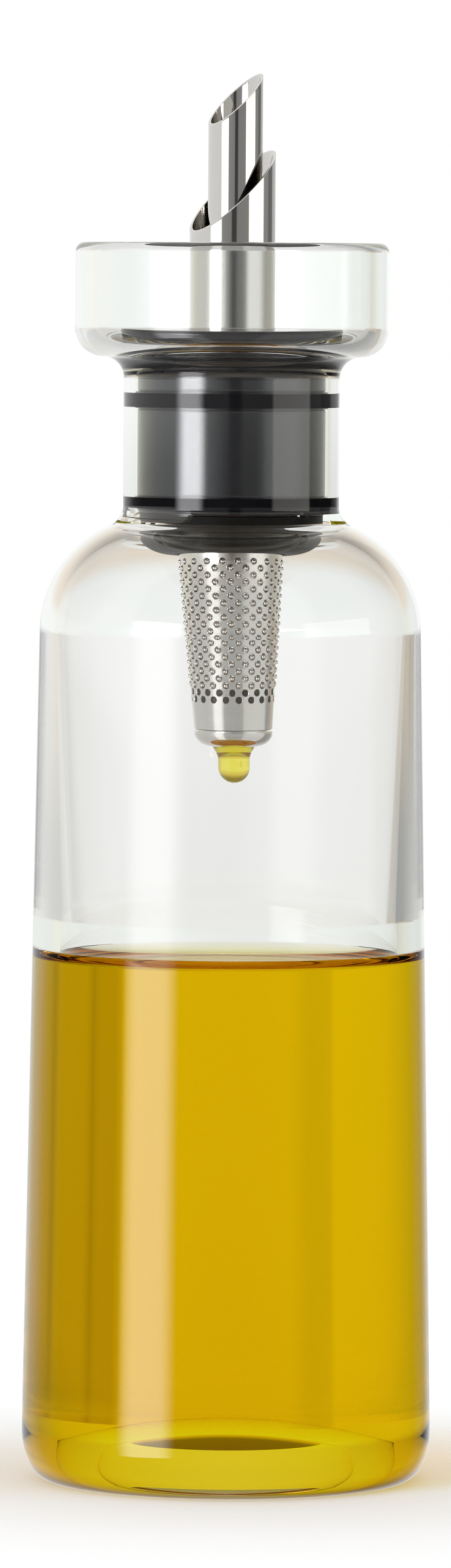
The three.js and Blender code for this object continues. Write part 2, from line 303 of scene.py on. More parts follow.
def glass_material(name):
    """Fire-polished soda-lime glass: clear, with a faint grey-green in its thick edges and slow waves."""
    return clear_material(
        name,
        ripple=GLASS_WAVE,
        strength=0.05,
        dry=GLASS_INDEX,
        wetted=WETTED_INDEX,
        tint="#ecf2df",
        density=18.0,
    )


def oil_material(name, density):
    """Clear golden olive oil: pale where thin, deep yellow where thick, with slow streaks."""
    return clear_material(
        name,
        ripple=OIL_STREAK,
        strength=0.02,
        dry=OIL_INDEX,
        wetted=1.0,
        tint="#fcf600",
        density=density,
    )


def steel_material(name, colour, smoothest, roughest):
    """Polished stainless steel: mirror-like, with fine polishing lines round the tube."""
    material = new_material(name)
    tree = material.node_tree
    place = add(tree, "ShaderNodeTexCoord").outputs["Object"]
    along = add(tree, "ShaderNodeMapping", {"Vector": place, "Scale": LINE_STRETCH})
    lines = add(
        tree,
        "ShaderNodeTexNoise",
        {"Vector": along.outputs["Vector"], "Scale": scale_for(POLISHING_LINE), "Detail": 3.0},
    )
    rough = add(
        tree,
        "ShaderNodeMapRange",
        {
            "Value": lines.outputs["Fac"],
            "From Min": 0.3,
            "From Max": 0.7,
            "To Min": smoothest,
            "To Max": roughest,
        },
    )
    bump = add(
        tree,
        "ShaderNodeBump",
        {"Height": lines.outputs["Fac"], "Strength": 0.03, "Distance": GRAIN_HEIGHT * MM},
    )
    shader = add(
        tree,
        "ShaderNodeBsdfPrincipled",
        {
            "Base Color": linear(colour),
            "Metallic": 1.0,
            "Roughness": rough.outputs["Result"],
            "Normal": bump.outputs["Normal"],
        },
    )
    set_surface(tree, shader.outputs["BSDF"])
    return material


def moulded_material(name, dark, light, roughness, grain, gloss=0.5):
    """Moulded plastic or rubber: a close-toned mottle and a fine grain in the gloss."""
    material = new_material(name)
    tree = material.node_tree
    place = add(tree, "ShaderNodeTexCoord").outputs["Object"]
    mottle = add(tree, "ShaderNodeTexNoise", {"Vector": place, "Scale": scale_for(MOTTLE), "Detail": 3.0})
    colour = add(
        tree,
        "ShaderNodeMix",
        {"Factor": mottle.outputs["Fac"], "A": linear(dark), "B": linear(light)},
        data_type="RGBA",
    )
    fine = add(tree, "ShaderNodeTexNoise", {"Vector": place, "Scale": scale_for(grain), "Detail": 2.0})
    bump = add(
        tree,
        "ShaderNodeBump",
        {"Height": fine.outputs["Fac"], "Strength": 0.05, "Distance": GRAIN_HEIGHT * MM},
    )
    shader = add(
        tree,
        "ShaderNodeBsdfPrincipled",
        {
            "Base Color": colour.outputs["Result"],
            "Roughness": roughness,
            "IOR": PLASTIC_INDEX,
            "Specular IOR Level": gloss,
            "Normal": bump.outputs["Normal"],
        },
    )
    set_surface(tree, shader.outputs["BSDF"])
    return material


# Mesh making


def arc(radius_at, height_at, radius, start, end, step=ARC_STEP):
    """Points of an arc in the plane of radius and height, between two angles in degrees."""
    steps = max(3, round(abs(end - start) / step))
    angles = [math.radians(start + (end - start) * i / steps) for i in range(steps + 1)]
    return [(radius_at + radius * math.cos(a), height_at + radius * math.sin(a)) for a in angles]


def supported(profile, closed):
    """The profile with a point close to each end of its long stretches, and without doubled points."""
    points = [p for i, p in enumerate(profile) if i == 0 or math.dist(p, profile[i - 1]) > SAME_PLACE]
    made = []
    for start, end in zip(points, points[1:] + points[:1]):
        made.append(start)
        length = math.dist(start, end)
        if length > LONG_STRETCH and (closed or end is not points[0]):
            for share in (SUPPORT / length, 1 - SUPPORT / length):
                made.append(tuple(a + (b - a) * share for a, b in zip(start, end)))
    return made


def turned(name, profile, sides=ROUND_SIDES, closed=False):
    """A mesh turned about the Z axis from points (radius, height), outwards from its lower middle."""
    points = supported(profile, closed)
    vertices = []
    rings = []
    for radius, height in points:
        count = sides if radius > SAME_PLACE else 1
        rings.append((len(vertices), count))
        for i in range(count):
            turn = 2 * math.pi * i / sides
            vertices.append((radius * math.cos(turn), radius * math.sin(turn), height))
    faces = []
    for (low, low_count), (high, high_count) in zip(rings, rings[1:] + (rings[:1] if closed else [])):
        for i in range(sides):
            j = (i + 1) % sides
            below = [low + i % low_count, low + j % low_count]
            above = [high + j % high_count, high + i % high_count]
            faces.append(list(dict.fromkeys(below + above)))
    return mesh_object(name, vertices, faces)


def mesh_object(name, vertices, faces):
    mesh = bpy.data.meshes.new(name)
    mesh.from_pydata([Vector(v) * MM for v in vertices], [], faces)
    mesh.shade_smooth()
    mesh.set_sharp_from_angle(angle=math.radians(SHARP_ANGLE))
    made = bpy.data.objects.new(name, mesh)
    bpy.context.scene.collection.objects.link(made)
    return made


def millimetres(node):
    """Lowest and highest corner of a CAD node."""
    low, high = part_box(node)
    return low / MM, high / MM


def dress(piece, body, slot, materials, *nodes):
    """Gives a piece its materials and its body, and hides the CAD nodes that it stands for. The slot is not
    used.
    """
    for material in materials:
        piece.data.materials.append(material)
    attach(piece, body)
    if nodes:
        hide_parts(*nodes)
    return piece


camera_turn = math.radians(CAMERA_AZIMUTH)
toward_camera = Vector((math.sin(camera_turn), -math.cos(camera_turn), 0))
camera_right = Vector((-toward_camera.y, toward_camera.x, 0))

# Glass bottle

_, bottle_top = millimetres("bottle")
base_radius = bottle_top.x
rim_height = bottle_top.z
shoulder_centre = SHOULDER_DIAMETER / 2 - SHOULDER_RADIUS
neck_radius = NECK_DIAMETER / 2
bore_radius = BORE_DIAMETER / 2
cup_radius = CUP_DIAMETER / 2


def root_fillet(wall_radius, fillet, arc_centre, arc_radius):
    """Centre and meeting angle of the fillet that leads from a shoulder's arc into an upright wall."""
    across = wall_radius + fillet - arc_centre
    up = math.sqrt((arc_radius + fillet) ** 2 - across**2)
    return wall_radius + fillet, BODY_HEIGHT + up, math.degrees(math.atan2(up, across))


neck_root_x, neck_root_z, neck_root_angle = root_fillet(
    neck_radius, NECK_ROOT_RADIUS, shoulder_centre, SHOULDER_RADIUS
)
inner_centre = SHOULDER_DIAMETER / 2 - BODY_WALL - INNER_SHOULDER_RADIUS
bore_root_x, bore_root_z, bore_root_angle = root_fillet(
    bore_radius, BORE_ROOT_RADIUS, inner_centre, INNER_SHOULDER_RADIUS
)
neck_top = neck_root_z + NECK_LENGTH
cup_underside = neck_top + CUP_FILLET
cup_floor = cup_underside + CUP_FLOOR_THICKNESS
oil_contact = OIL_LEVEL + MENISCUS_RISE
flange_radius = millimetres("stopper_core")[1].x
socket_bottom = millimetres("strainer_socket")[0].z
lower_seal_top = millimetres("lower_seal_ring")[1].z


def push_up(foot):
    """Points of the base's dome from its middle out to its foot."""
    radius = PUSH_UP_DIAMETER / 2
    bow = (radius**2 + PUSH_UP_DEPTH**2) / (2 * PUSH_UP_DEPTH)
    reach = math.degrees(math.asin(radius / bow))
    top = foot + PUSH_UP_DEPTH
    return [(0, top), *arc(0, top - bow, bow, 90, 90 - reach, DOME_STEP)[1:]]


def oval_corner(width, height):
    """Points of a lower outside corner of this width and height, from its flat end to its upright side."""
    return [(r, z * height / width) for r, z in arc(0, width, width, -90, 0, SHOULDER_STEP)]


def outside_profile():
    rim = CUP_WALL / 2
    return [
        *push_up(0),
        *[
            (base_radius - BASE_CORNER_WIDTH + r, z)
            for r, z in oval_corner(BASE_CORNER_WIDTH, BASE_CORNER_HEIGHT)
        ],
        *arc(shoulder_centre, BODY_HEIGHT, SHOULDER_RADIUS, 0, neck_root_angle, SHOULDER_STEP),
        *arc(neck_root_x, neck_root_z, NECK_ROOT_RADIUS, 180 + neck_root_angle, 180)[1:],
        *arc(neck_radius + CUP_FILLET, neck_top, CUP_FILLET, 180, 90),
        *arc(cup_radius - CUP_CORNER, cup_underside + CUP_CORNER, CUP_CORNER, -90, 0),
        *arc(cup_radius - rim, rim_height - rim, rim, 0, 180, RIM_STEP),
    ]


def outside_wall(height):
    """Radius of the tapering outside wall of the body."""
    share = (height - BASE_CORNER_HEIGHT) / (BODY_HEIGHT - BASE_CORNER_HEIGHT)
    return base_radius + (SHOULDER_DIAMETER / 2 - base_radius) * share


wall_heights = (BASE_THICKNESS + FLOOR_CORNER, MIDDLE_HEIGHT, BODY_HEIGHT)
wall_radii = [outside_wall(h) - w for h, w in zip(wall_heights, (FOOT_WALL, MIDDLE_WALL, BODY_WALL))]


def inside_wall(height):
    """Radius of the inside wall of the body."""
    part = 0 if height < MIDDLE_HEIGHT else 1
    low, high = wall_heights[part : part + 2]
    below, above = wall_radii[part : part + 2]
    return below + (above - below) * (height - low) / (high - low)


def inside_profile():
    """From the cup's wall down through the bore to the middle of the inside floor."""
    cup_inside = cup_radius - CUP_WALL
    film_rings = round((cup_floor - BORE_EDGE - bore_root_z) / FILM_STEP)
    foot = wall_radii[0]
    return [
        *arc(cup_inside - CUP_FLOOR_CORNER, cup_floor + CUP_FLOOR_CORNER, CUP_FLOOR_CORNER, 0, -90),
        *arc(bore_radius + BORE_EDGE, cup_floor - BORE_EDGE, BORE_EDGE, 90, 180, EDGE_STEP),
        *[(bore_radius, cup_floor - BORE_EDGE - FILM_STEP * i) for i in range(1, film_rings)],
        *arc(bore_root_x, bore_root_z, BORE_ROOT_RADIUS, 180, 180 + bore_root_angle),
        *arc(inner_centre, BODY_HEIGHT, INNER_SHOULDER_RADIUS, bore_root_angle, 0, SHOULDER_STEP)[1:],
        (inside_wall(MIDDLE_HEIGHT), MIDDLE_HEIGHT),
        (inside_wall(oil_contact), oil_contact),
        *arc(foot - FLOOR_CORNER, BASE_THICKNESS + FLOOR_CORNER, FLOOR_CORNER, 0, -90),
        *push_up(BASE_THICKNESS)[::-1],
    ]


def looks_in(vertex):
    """Whether a point of the glass is on the inside."""
    inward = -vertex.normal.xy.dot(vertex.co.xy) / max(vertex.co.xy.length, MM)
    return inward > INSIDE_LEAN or vertex.normal.z > INSIDE_LEAN


def film_depth(place):
    """How far a place on the bore lies inside an oil film, in millimetres, negative outside."""
    turn = math.degrees(math.atan2(place.dot(camera_right), place.dot(toward_camera)))
    run = sum(length * math.exp(-(((turn - at) / width) ** 2)) for at, length, width in FILM_RUNS)
    upper = min(place.z - UPPER_FILM_EDGE + run, flange_radius - place.xy.length)
    lower = min(place.z - LOWER_FILM_EDGE, lower_seal_top - place.z)
    for start, end, height, half in FILM_BUBBLES:
        nearest = min(max(turn, min(start, end)), max(start, end))
        across = math.radians(turn - nearest) * bore_radius
        lower = min(lower, math.hypot(across, place.z - height) - half)
    return max(upper, lower)


def wetness(vertex):
    """Of a point of the glass: 1 under oil, 0 in air, with a film's edge where it passes a half."""
    place = vertex.co / MM
    if not looks_in(vertex) or place.z > cup_floor + SUPPORT:
        return 0
    if place.z < oil_contact + SUPPORT / 2:
        return 1
    return min(max(film_depth(place) + 0.5, 0), 1)


def mark_wetted(piece, domain, items, test):
    marks = piece.data.attributes.new("wetted", "FLOAT", domain)
    marks.data.foreach_set("value", [float(test(item)) for item in items])


def make_bottle():
    glass = turned("glass_bottle", outside_profile() + inside_profile())
    mark_wetted(glass, "POINT", glass.data.vertices, wetness)
    dress(glass, "bottle", "clear_glass", [glass_material("clear_glass")], "bottle")


# Oil

olive_oil = oil_material("olive_oil", density=150)
thin_oil = oil_material("olive_oil_drop", density=400)  # denser, so that a drop shows its colour


def make_oil():
    """The oil, wetting the glass all round, with a surface that climbs at the wall."""
    foot = wall_radii[0]
    edge = inside_wall(oil_contact) + WETTING
    climb = [
        (edge - WETTING - reach, OIL_LEVEL + MENISCUS_RISE * math.exp(-reach / MENISCUS_REACH))
        for reach in [MENISCUS_STEP * i for i in range(MENISCUS_STEPS)]
    ]
    profile = [
        *push_up(BASE_THICKNESS - WETTING),
        *arc(foot - FLOOR_CORNER, BASE_THICKNESS + FLOOR_CORNER, FLOOR_CORNER + WETTING, -90, 0),
        (edge, oil_contact),
        *climb,
        (0, OIL_LEVEL),
    ]
    oil = turned("olive_oil_fill", profile)
    wall = inside_wall(oil_contact) * MM
    mark_wetted(
        oil,
        "FACE",
        oil.data.polygons,
        lambda face: face.normal.z < SURFACE_RISE or face.center.xy.length > wall,
    )
    dress(oil, "bottle", "oil", [olive_oil], "oil_fill")


# Stopper


def groove(outer, low, high):
    """A seal's groove in the stopper's side, from below upwards, with softened edges."""
    inner = outer - GROOVE_DEPTH
    return [
        *arc(outer - STOPPER_EDGE, low - STOPPER_EDGE, STOPPER_EDGE, 0, 90, FINE_EDGE_STEP),
        (inner, low),
        (inner, high),
        *arc(outer - STOPPER_EDGE, high + STOPPER_EDGE, STOPPER_EDGE, -90, 0, FINE_EDGE_STEP),
    ]


def make_stopper():
    low, high = millimetres("stopper_core")
    upper_low, upper_high = millimetres("upper_seal_ring")
    lower_low, lower_high = millimetres("lower_seal_ring")
    _, socket_high = millimetres("strainer_socket")
    drip_low, drip_high = millimetres("drip_tube")
    _, pour_high = millimetres("pour_tube")
    outer = bore_radius - STOPPER_GAP
    flange = high.x
    bore = pour_high.y + TUBE_GAP
    tube_seat = drip_high.y + TUBE_GAP
    seat = drip_low.z - SEAT_GAP
    pocket_top = socket_high.z + SEAT_GAP
    flange_low = high.z - FLANGE_THICKNESS
    profile = [
        (bore, pocket_top),
        (POCKET_RADIUS, pocket_top),
        (POCKET_RADIUS, low.z),
        *arc(outer - STOPPER_EDGE, low.z + STOPPER_EDGE, STOPPER_EDGE, -90, 0, FINE_EDGE_STEP),
        *groove(outer, lower_low.z - GROOVE_GAP, lower_high.z + GROOVE_GAP),
        *groove(outer, upper_low.z - GROOVE_GAP, upper_high.z + GROOVE_GAP),
        (outer, flange_low),
        *arc(flange - FLANGE_EDGE, flange_low + FLANGE_EDGE, FLANGE_EDGE, -90, 0, EDGE_STEP),
        *arc(flange - FLANGE_EDGE, high.z - FLANGE_EDGE, FLANGE_EDGE, 0, 90, EDGE_STEP),
        (tube_seat, high.z),
        (tube_seat, seat),
        (bore, seat),
    ]
    core = turned("stopper_moulding", profile, closed=True)
    grey_plastic = moulded_material("grey_moulded_plastic", "#131315", "#1a1a1d", roughness=0.1, grain=0.5)
    dress(core, "stopper", "grey_stopper", [grey_plastic], "stopper_core")


def make_seals():
    rubber = moulded_material("black_silicone", "#0d0c0f", "#141316", roughness=0.5, grain=0.4, gloss=0.0)
    for name in ("upper_seal_ring", "lower_seal_ring"):
        low, high = millimetres(name)
        outer = bore_radius + SEAL_PRESS
        inner = high.x - GROOVE_DEPTH + SEAT_GAP
        corner = outer - SEAL_CORNER
        profile = [
            (inner, low.z),
            *arc(corner, low.z + SEAL_CORNER, SEAL_CORNER, -90, 0, EDGE_STEP),
            *arc(corner, high.z - SEAL_CORNER, SEAL_CORNER, 0, 90, EDGE_STEP),
            (inner, high.z),
        ]
        ring = turned(name.replace("_ring", ""), profile, closed=True)
        dress(ring, "stopper", "black_seal", [rubber], name)


def make_socket():
    """The black ring that the strainer's collar pushes into, with a lip under the stopper."""
    low, high = millimetres("strainer_socket")
    collar = millimetres("strainer_tube")[1].x + TUBE_GAP
    lip = high.x
    lip_top = millimetres("stopper_core")[0].z - LIP_GAP
    profile = [
        *arc(collar + LIP_EDGE, low.z + LIP_EDGE, LIP_EDGE, 180, 270, FINE_EDGE_STEP),
        *[
            (lip - LIP_CORNER_WIDTH + r, low.z + z)
            for r, z in oval_corner(LIP_CORNER_WIDTH, LIP_CORNER_HEIGHT)
        ],
        (lip, lip_top),
        (SOCKET_RADIUS, lip_top),
        (SOCKET_RADIUS, high.z),
        (collar, high.z),
    ]
    socket = turned("strainer_seat", profile, closed=True)
    black = moulded_material("black_plastic", "#0a0a09", "#100f0e", roughness=0.5, grain=0.5, gloss=0.1)
    dress(socket, "stopper", "black_plastic", [black], "strainer_socket")


# Pouring tubes


def slant_tube(name, node):
    """A tube whose upper end is cut on a slant that rises towards +X, with a softened rim."""
    low, high = millimetres(node)
    radius = high.y
    centre = (low.x + high.x) / 2
    slope = math.tan(math.radians(CUT_ANGLE))
    middle = high.z - radius * slope
    inner = radius - TUBE_WALL
    rows = [
        (inner, 0, low.z),
        (radius, 0, low.z),
        (radius, -SUPPORT, None),
        (radius, -TUBE_RIM, None),
        (radius - TUBE_RIM, 0, None),
        (inner + TUBE_RIM, 0, None),
        (inner, -TUBE_RIM, None),
        (inner, -SUPPORT, None),
    ]
    vertices = []
    for reach, drop, height in rows:
        for i in range(TUBE_SIDES):
            turn = 2 * math.pi * i / TUBE_SIDES
            x = reach * math.cos(turn)
            z = middle + x * slope + drop if height is None else height
            vertices.append((centre + x, reach * math.sin(turn), z))
    faces = []
    for row in range(len(rows)):
        start = row * TUBE_SIDES
        end = (row + 1) % len(rows) * TUBE_SIDES
        for i in range(TUBE_SIDES):
            j = (i + 1) % TUBE_SIDES
            faces.append((start + i, start + j, end + j, end + i))
    return mesh_object(name, vertices, faces)


def make_tubes():
    steel = steel_material("polished_steel", "#cfcdc9", smoothest=0.03, roughest=0.07)
    for name, node in (("outer_tube", "drip_tube"), ("inner_tube", "pour_tube")):
        dress(slant_tube(name, node), "stopper", "polished_steel", [steel], node)


# Strainer


def lean(piece):
    """Tips a piece under the socket a little to the camera's right, as the photographed strainer hangs."""
    for vertex in piece.data.vertices:
        vertex.co += camera_right * LEAN * max(0, socket_bottom * MM - vertex.co.z)


class Strainer:
    """Places points of the perforated tube by column, row and depth, and collects its mesh."""

    def __init__(self):
        low, high = millimetres("strainer_tube")
        self.seam = low.z
        self.top = high.z
        self.collar = high.x
        self.end = millimetres("strainer_end_cap")[1].x
        self.first = self.seam + LOWEST_ROW_HEIGHT
        self.column = math.pi / HOLES_PER_ROW
        self.vertices = []
        self.faces = []
        self.shared = {}

    def radius(self, height):
        share = min(1, (height - self.seam) / TAPER_LENGTH)
        return self.end + (self.collar - self.end) * share

    def spot(self, turn, height, depth):
        reach = self.radius(height) - depth
        turn += math.radians(STRAINER_TURN)
        self.vertices.append((reach * math.cos(turn), reach * math.sin(turn), height))
        return len(self.vertices) - 1

    def lattice(self, half_column, half_row, depth):
        """A point shared by neighbouring holes, counted in half columns and half rows."""
        key = (half_column % (4 * HOLES_PER_ROW), half_row, depth)
        if key not in self.shared:
            turn = (half_column / 2 + 0.5) * self.column
            self.shared[key] = self.spot(turn, self.first + half_row / 2 * HOLE_ROW_PITCH, depth)
        return self.shared[key]

    def hole_ring(self, column, row, size, depth):
        height = self.first + row * HOLE_ROW_PITCH
        turn = (column + 0.5) * self.column
        reach = self.radius(height)
        ring = []
        for i in range(HOLE_SIDES):
            angle = 2 * math.pi * i / HOLE_SIDES
            across = size * math.cos(angle) / reach
            ring.append(self.spot(turn + across, height + size * math.sin(angle), depth))
        return ring

    def add_face(self, corners, outward):
        self.faces.append(corners if outward else corners[::-1])

    def skin(self, column, row, ring, depth, outward):
        """The diamond of skin round one hole, joined to the hole's ring."""
        steps = [(2, 0), (1, 1), (0, 2), (-1, 1), (-2, 0), (-1, -1), (0, -2), (1, -1)]
        edge = [self.lattice(2 * column + a, 2 * row + b, depth) for a, b in steps]
        for i in range(len(edge)):
            a, b = edge[i], edge[(i + 1) % len(edge)]
            low, mid, high = (ring[(2 * i + k) % HOLE_SIDES] for k in range(3))
            self.add_face([a, b, mid], outward)
            self.add_face([a, mid, low], outward)
            self.add_face([b, high, mid], outward)

    def bridge(self, first, second):
        for i in range(len(first)):
            j = (i + 1) % len(first)
            self.faces.append([first[i], first[j], second[j], second[i]])

    def hole(self, column, row):
        size = HOLE_DIAMETER / 2
        lip = self.hole_ring(column, row, size + HOLE_EDGE, 0)
        front = self.hole_ring(column, row, size, HOLE_EDGE)
        back = self.hole_ring(column, row, size, STRAINER_WALL)
        self.skin(column, row, lip, 0, True)
        self.bridge(lip, front)
        self.bridge(front, back)
        self.skin(column, row, back, STRAINER_WALL, False)

    def hem(self, row, side, depth, outward):
        """Fills the notches between the last row of holes and a straight ring beyond it."""
        columns = 2 * HOLES_PER_ROW
        level = 2 * row + 2 * side
        for i in range(HOLES_PER_ROW):
            c = 2 * (2 * i + row % 2)
            a, b, d = (self.lattice(c + k, level, depth) for k in (0, 2, 4))
            near, far = (self.lattice(c + k, 2 * row + side, depth) for k in (1, 3))
            tip = self.lattice(c + 2, 2 * row, depth)
            flip = outward == (side < 0)
            for corners in ([a, b, near], [b, tip, near], [b, far, tip], [b, d, far]):
                self.add_face(corners, flip)
        return [self.lattice(2 * k, level, depth) for k in range(columns)]

    def ring_at(self, height, depth):
        return [self.spot((k + 0.5) * self.column, height, depth) for k in range(2 * HOLES_PER_ROW)]

    def band(self, rings):
        for low, high in zip(rings, rings[1:]):
            self.bridge(low, high)


def make_strainer():
    """The tapered steel tube with staggered rows of round holes."""
    s = Strainer()
    for row in range(HOLE_ROWS):
        for i in range(HOLES_PER_ROW):
            s.hole(2 * i + row % 2, row)
    last = HOLE_ROWS - 1
    taper_top = s.seam + TAPER_LENGTH
    outer_low = s.hem(0, -1, 0, True)
    inner_low = s.hem(0, -1, STRAINER_WALL, False)
    outer_high = s.hem(last, 1, 0, True)
    inner_high = s.hem(last, 1, STRAINER_WALL, False)
    bottom = [
        inner_low,
        s.ring_at(s.seam, STRAINER_WALL),
        s.ring_at(s.seam, STRAINER_EDGE),
        s.ring_at(s.seam + STRAINER_EDGE, 0),
        outer_low,
    ]
    s.band(bottom)
    top = [
        outer_high,
        s.ring_at(taper_top, 0),
        s.ring_at(s.top, 0),
        s.ring_at(s.top, STRAINER_WALL),
        s.ring_at(taper_top, STRAINER_WALL),
        inner_high,
    ]
    s.band(top)
    tube = mesh_object("strainer", s.vertices, s.faces)
    steel = steel_material("strainer_steel", "#dddbd6", smoothest=0.08, roughest=0.16)
    lean(tube)
    dress(tube, "strainer", "strainer_steel", [steel], "strainer_tube")
    make_foot(s, steel)
    # At this size a bead of oil shows only its gleam, and the open holes only the shade inside the tube,
    # painted on dark discs
    gleam = steel_material("bead_gleam", "#e6e5e2", smoothest=0.02, roughest=0.05)
    upper_rows = range(OPEN_ROWS, HOLE_ROWS)
    make_beads(s, "strainer_beads", upper_rows, BEAD_DIAMETER, BEAD_BULGE, HOLE_EDGE, gleam)
    # Painted shade: dark discs that stand for the dim inside of the tube behind the open holes
    shade = moulded_material("painted_hole_shade", "#26231e", "#37332c", roughness=0.4, grain=0.5, gloss=0.3)
    make_beads(s, "strainer_hole_shade", range(OPEN_ROWS), HOLE_DIAMETER, HOLE_SHADE_BULGE, HOLE_SHADE_DEPTH, shade)


def make_foot(s, steel):
    """The pressed cap with a round corner and a narrow seam under the tube."""
    low, high = millimetres("strainer_end_cap")
    inner = s.end - STRAINER_WALL - SEAT_GAP
    seam = s.seam - CAP_SEAM
    end = low.z - CAP_SAG
    profile = [
        (0, end),
        *[
            (s.end - CAP_CORNER_WIDTH + r, end + z)
            for r, z in oval_corner(CAP_CORNER_WIDTH, CAP_CORNER_HEIGHT)
        ],
        (s.end, seam),
        (inner, seam),
        (inner, high.z),
        (inner - CAP_WALL, high.z),
        (inner - CAP_WALL, end + CAP_WALL),
        (0, end + CAP_WALL),
    ]
    foot = turned("strainer_foot", profile, TUBE_SIDES)
    lean(foot)
    dress(foot, "strainer", "strainer_steel", [steel], "strainer_end_cap")


def make_beads(s, name, rows, diameter, bulge, depth, material):
    """A bulging bead in each hole of these rows, whose edge lies this deep under the tube's surface; in the
    open rows it is a dark disc of painted shade.
    """
    vertices = []
    faces = []
    ring = range(BEAD_SIDES)
    last = len(BEAD_LEVELS) - 1
    for row in rows:
        height = s.first + row * HOLE_ROW_PITCH
        reach = s.radius(height) - depth
        for i in range(HOLES_PER_ROW):
            turn = (2 * i + row % 2 + 0.5) * s.column
            spin = Matrix.Rotation(turn + math.radians(STRAINER_TURN), 4, "Z")
            start = len(vertices)
            for width, rise in BEAD_LEVELS:
                across = diameter / 2 * width
                for k in ring:
                    angle = 2 * math.pi * k / BEAD_SIDES
                    side, up = across * math.cos(angle), across * math.sin(angle)
                    vertices.append(spin @ Vector((reach + rise * bulge, side, height + up)))
            front = len(vertices)
            vertices.append(spin @ Vector((reach + bulge, 0, height)))
            vertices.append(spin @ Vector((reach - BEAD_BACK * bulge, 0, height)))
            for k in ring:
                after = (k + 1) % BEAD_SIDES
                for level in range(last):
                    low = start + level * BEAD_SIDES
                    high = low + BEAD_SIDES
                    faces.append((low + k, low + after, high + after, high + k))
                outermost = start + last * BEAD_SIDES
                faces.append((outermost + k, outermost + after, front))
                faces.append((start + after, start + k, front + 1))
    beads = mesh_object(name, vertices, faces)
    lean(beads)
    dress(beads, "strainer", "oil", [material])


def make_drop():
    """The drop that hangs under the cap: a flared top, a short neck and a round end."""
    low, high = millimetres("oil_drop")
    radius = DROP_DIAMETER / 2
    end = low.z - DROP_SAG
    top = high.z + SEAT_GAP - CAP_SAG
    flare = []
    for step in range(FLARE_STEPS + 1):
        share = step / FLARE_STEPS
        spread = DROP_FLARE_WIDTH * (1 - math.cos(math.pi / 2 * share))
        flare.append((radius + spread, top - DROP_FLARE_HEIGHT * (1 - share)))
    profile = [
        (0, end),
        *arc(0, end + radius, radius, -90, 0, DROP_STEP)[1:],
        *flare,
        (0, top),
    ]
    drop = turned("hanging_drop", profile, TUBE_SIDES)
    lean(drop)
    dress(drop, "strainer", "oil", [thin_oil], "oil_drop")


# Studio

# The room round the bottle, as mirrored by what stands in the neck and above: an angle in degrees from the
# camera's side, positive to the right, and the grey level there
ROOM_REFLECTED = [
    (-180, 1.0),
    (-64, 0.95),
    (-60, 0.4),
    (-28, 0.36),
    (-4, 0.3),
    (-1, 0.07),
    (9, 0.07),
    (13, 0.3),
    (93, 0.35),
    (108, 0.35),
    (113, 0.2),
    (130, 0.2),
    (134, 0.6),
    (156, 0.64),
    (160, 1.0),
]
# The same for what is lower than the neck, which mirrors the shaded table
TABLE_REFLECTED = [
    (-180, 1.0),
    (-165, 0.85),
    (-143, 0.6),
    (-128, 0.15),
    (-110, 0.02),
    (110, 0.02),
    (132, 0.02),
    (149, 0.25),
    (162, 0.85),
    (180, 1.0),
]
# What shines through the oil, whose round shape shows the left of the room on the right. Some levels
# have a tint.
WARM = (1.0, 0.88, 0.72)
WARM_LEFT = (1.0, 0.94, 0.85)
ROOM_THROUGH_OIL = [
    (-180, 0.93),
    (-168, 0.93),
    (-164, 0.82),
    (-159, 0.82),
    (-158, 0.96),
    (-140, 0.93, WARM_LEFT),
    (-130, 0.84, WARM_LEFT),
    (-112, 0.7),
    (-62, 0.7),
    (-54, 1.25),
    (-34, 1.25),
    (-26, 0.5),
    (26, 0.5),
    (33, 0.8),
    (98, 0.8),
    (106, 0.5),
    (113, 0.55, WARM),
    (127, 0.6, WARM),
    (129, 0.5, WARM),
    (131, 0.5, WARM),
    (133, 0.64, WARM),
    (147, 0.64, WARM),
    (149, 0.5, WARM),
    (151, 0.62, WARM),
    (157, 0.62, WARM),
    (158.5, 0.93),
    (180, 0.93),
]
# The same for the empty glass, the neck and the cup, which are seen more level
COOL = (0.955, 0.985, 0.98)
OLIVE = (1.0, 1.0, 0.9)
ROOM_THROUGH_EMPTY_GLASS = [
    (-180, 0.97, COOL),
    (-150, 0.96, COOL),
    (-135, 0.95, OLIVE),
    (-110, 0.9, OLIVE),
    (-77, 0.9, COOL),
    (-69, 1.1, COOL),
    (-61, 1.6, COOL),
    (-32, 1.6, COOL),
    (-25, 0.9, COOL),
    (-12, 0.47, COOL),
    (-5, 0.25, COOL),
    (2, 0.13, COOL),
    (8, 0.15, COOL),
    (15, 0.26, COOL),
    (28, 0.3, COOL),
    (35, 0.48, COOL),
    (43, 1.1, COOL),
    (49, 1.3, COOL),
    (73, 1.3, COOL),
    (82, 1.1, COOL),
    (91, 0.75, COOL),
    (100, 0.55, OLIVE),
    (111, 0.58, OLIVE),
    (124, 0.6, OLIVE),
    (140, 0.82, OLIVE),
    (155, 0.95, COOL),
    (180, 0.97, COOL),
]
# The same for the strainer, whose tapered side looks down
ROOM_BELOW_STRAINER = [
    (-180, 0.9),
    (-135, 0.7),
    (-62, 0.7),
    (-54, 1.25),
    (-34, 1.25),
    (-26, 0.5),
    (26, 0.5),
    (33, 0.8),
    (100, 0.8),
    (110, 0.33),
    (140, 0.4),
    (180, 0.9),
]
# The same where the glass bends the sight upwards
ROOM_OVERHEAD = [(-180, 1.0, (0.82, 0.72, 0.6))]
